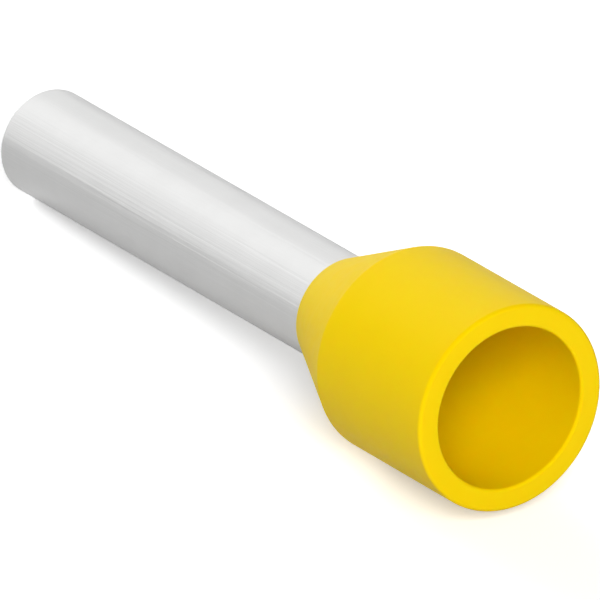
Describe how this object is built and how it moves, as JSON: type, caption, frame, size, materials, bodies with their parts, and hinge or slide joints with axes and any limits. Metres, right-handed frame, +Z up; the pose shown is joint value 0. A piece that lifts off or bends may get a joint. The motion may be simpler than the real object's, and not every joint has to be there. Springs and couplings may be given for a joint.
{
  "type": "wire ferrule",
  "caption": "Insulated wire ferrule: a long thin tinned copper tube for stripped strands, flared inside a yellow plastic collar that takes the end of the wire's insulation.",
  "frame": {"origin": "on the surface that the ferrule lies on, below the middle of its length; the sleeve's tip and the collar's shoulder touch that surface", "axes": "+X along the ferrule towards the collar's mouth, +Y across it, +Z up; the ferrule's own axis rises by 4.6 degrees towards +X"},
  "size_m": [0.0294, 0.0076, 0.008],
  "materials": {
    "tinned_copper": "satin tin plating on drawn copper tube",
    "yellow_plastic": "moulded polypropylene with a soft shine"
  },
  "bodies": {
    "root": {"metal_sleeve": "tinned_copper", "insulating_collar": "yellow_plastic"}
  },
  "joints": []
}
